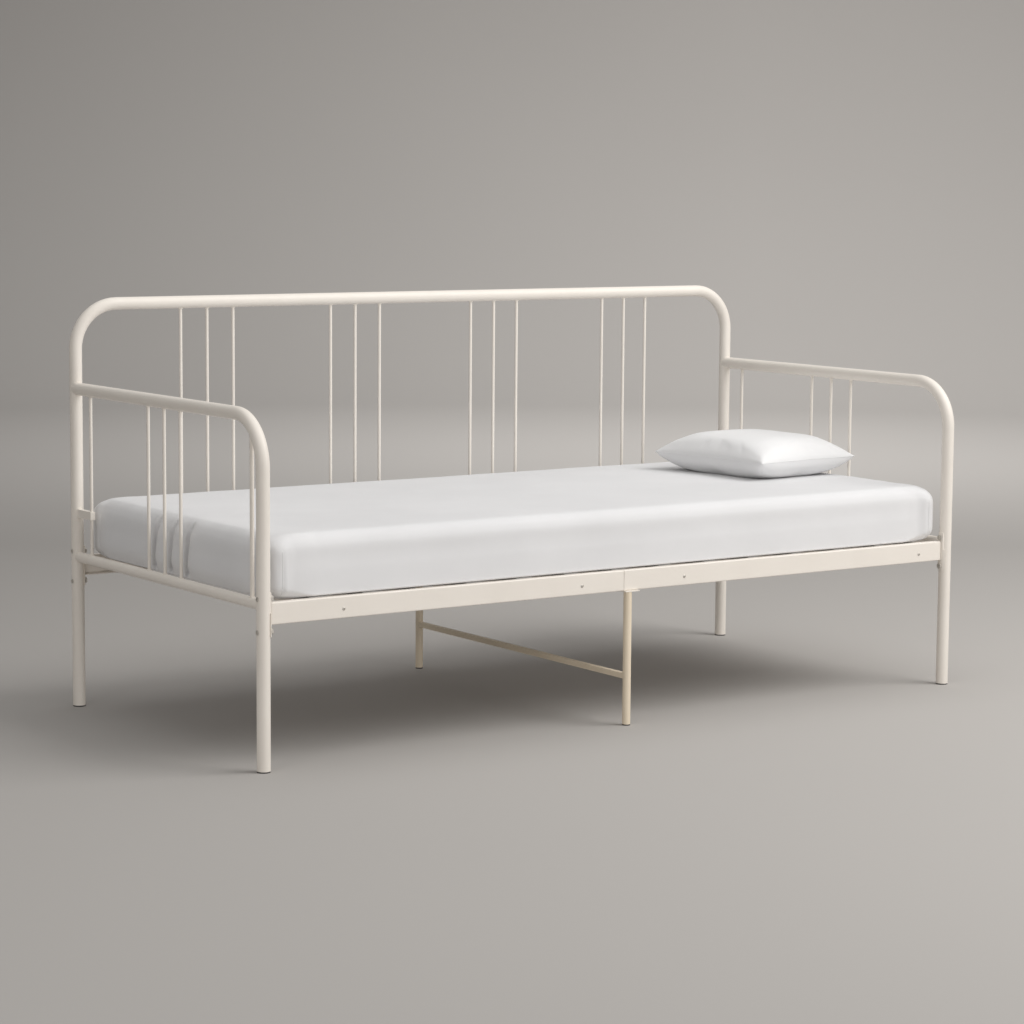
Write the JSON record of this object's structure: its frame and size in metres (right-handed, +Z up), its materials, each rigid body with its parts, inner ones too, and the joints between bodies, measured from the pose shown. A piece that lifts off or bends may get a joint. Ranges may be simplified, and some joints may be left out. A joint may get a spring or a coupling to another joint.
{
  "type": "daybed",
  "caption": "Metal daybed with a rounded tube back, lower rounded arms with upright rods, a slatted base on slim legs, a thin mattress and a small cushion.",
  "frame": {"origin": "on the floor, at the centre of the footprint", "axes": "+X along the bed's length towards the end with the cushion, +Y towards the high back, +Z up"},
  "size_m": [2.0696, 0.956, 1.0105],
  "materials": {
    "frame_paint": "satin",
    "fastener_steel": "satin",
    "glide_plastic": "matte",
    "cover_plastic": "satin",
    "mattress_fabric": "matte",
    "cushion_fabric": "matte"
  },
  "bodies": {
    "frame": {"back_frame": "frame_paint", "back_foot_bar": "frame_paint", "back_bar_bolts": "fastener_steel", "back_bar_nuts": "fastener_steel", "back_rods_far_left": "frame_paint", "back_rods_mid_left": "frame_paint", "back_rods_mid_right": "frame_paint", "back_rods_far_right": "frame_paint", "left_arm_tube": "frame_paint", "right_arm_tube": "frame_paint", "left_arm_lower_rail": "frame_paint", "right_arm_lower_rail": "frame_paint", "left_arm_rods": "frame_paint", "right_arm_rods": "frame_paint", "left_arm_front_rod": "frame_paint", "arm_stubs": "frame_paint", "arm_end_plugs": "fastener_steel", "arm_bolts": "fastener_steel", "arm_bolt_covers": "cover_plastic", "front_left_leg": "frame_paint", "front_right_leg": "frame_paint", "rear_left_leg": "frame_paint", "rear_right_leg": "frame_paint", "leg_sleeves": "fastener_steel", "corner_foot_caps": "glide_plastic", "front_left_bracket": "frame_paint", "front_right_bracket": "frame_paint", "rear_left_bracket": "frame_paint", "rear_right_bracket": "frame_paint", "bracket_bolts": "fastener_steel", "bracket_nuts": "fastener_steel", "front_left_rail": "frame_paint", "front_right_rail": "frame_paint", "rear_left_rail": "frame_paint", "rear_right_rail": "frame_paint", "front_left_ledge": "frame_paint", "front_right_ledge": "frame_paint", "rear_left_ledge": "frame_paint", "rear_right_ledge": "frame_paint", "front_joiner": "frame_paint", "rear_joiner": "frame_paint", "rail_bolts": "fastener_steel", "rail_nuts": "fastener_steel", "mid_front_leg": "frame_paint", "mid_rear_leg": "frame_paint", "mid_cross_bar": "frame_paint", "mid_front_plate": "frame_paint", "mid_rear_plate": "frame_paint", "mid_plate_bolts": "fastener_steel", "mid_plate_nuts": "fastener_steel", "mid_foot_caps": "glide_plastic", "slats_left": "frame_paint", "slats_right": "frame_paint", "slat_caps_front": "glide_plastic", "slat_caps_rear": "glide_plastic"},
    "mattress": {"mattress": "mattress_fabric"},
    "cushion": {"cushion": "cushion_fabric"}
  },
  "joints": [
    {"name": "mattress_lift", "type": "slide", "parent": "frame", "child": "mattress", "axis": [0, 0, 1], "range_m": [0, 0.65]},
    {"name": "cushion_lift", "type": "slide", "parent": "mattress", "child": "cushion", "axis": [0, 0, 1], "range_m": [0, 0.25]}
  ]
}
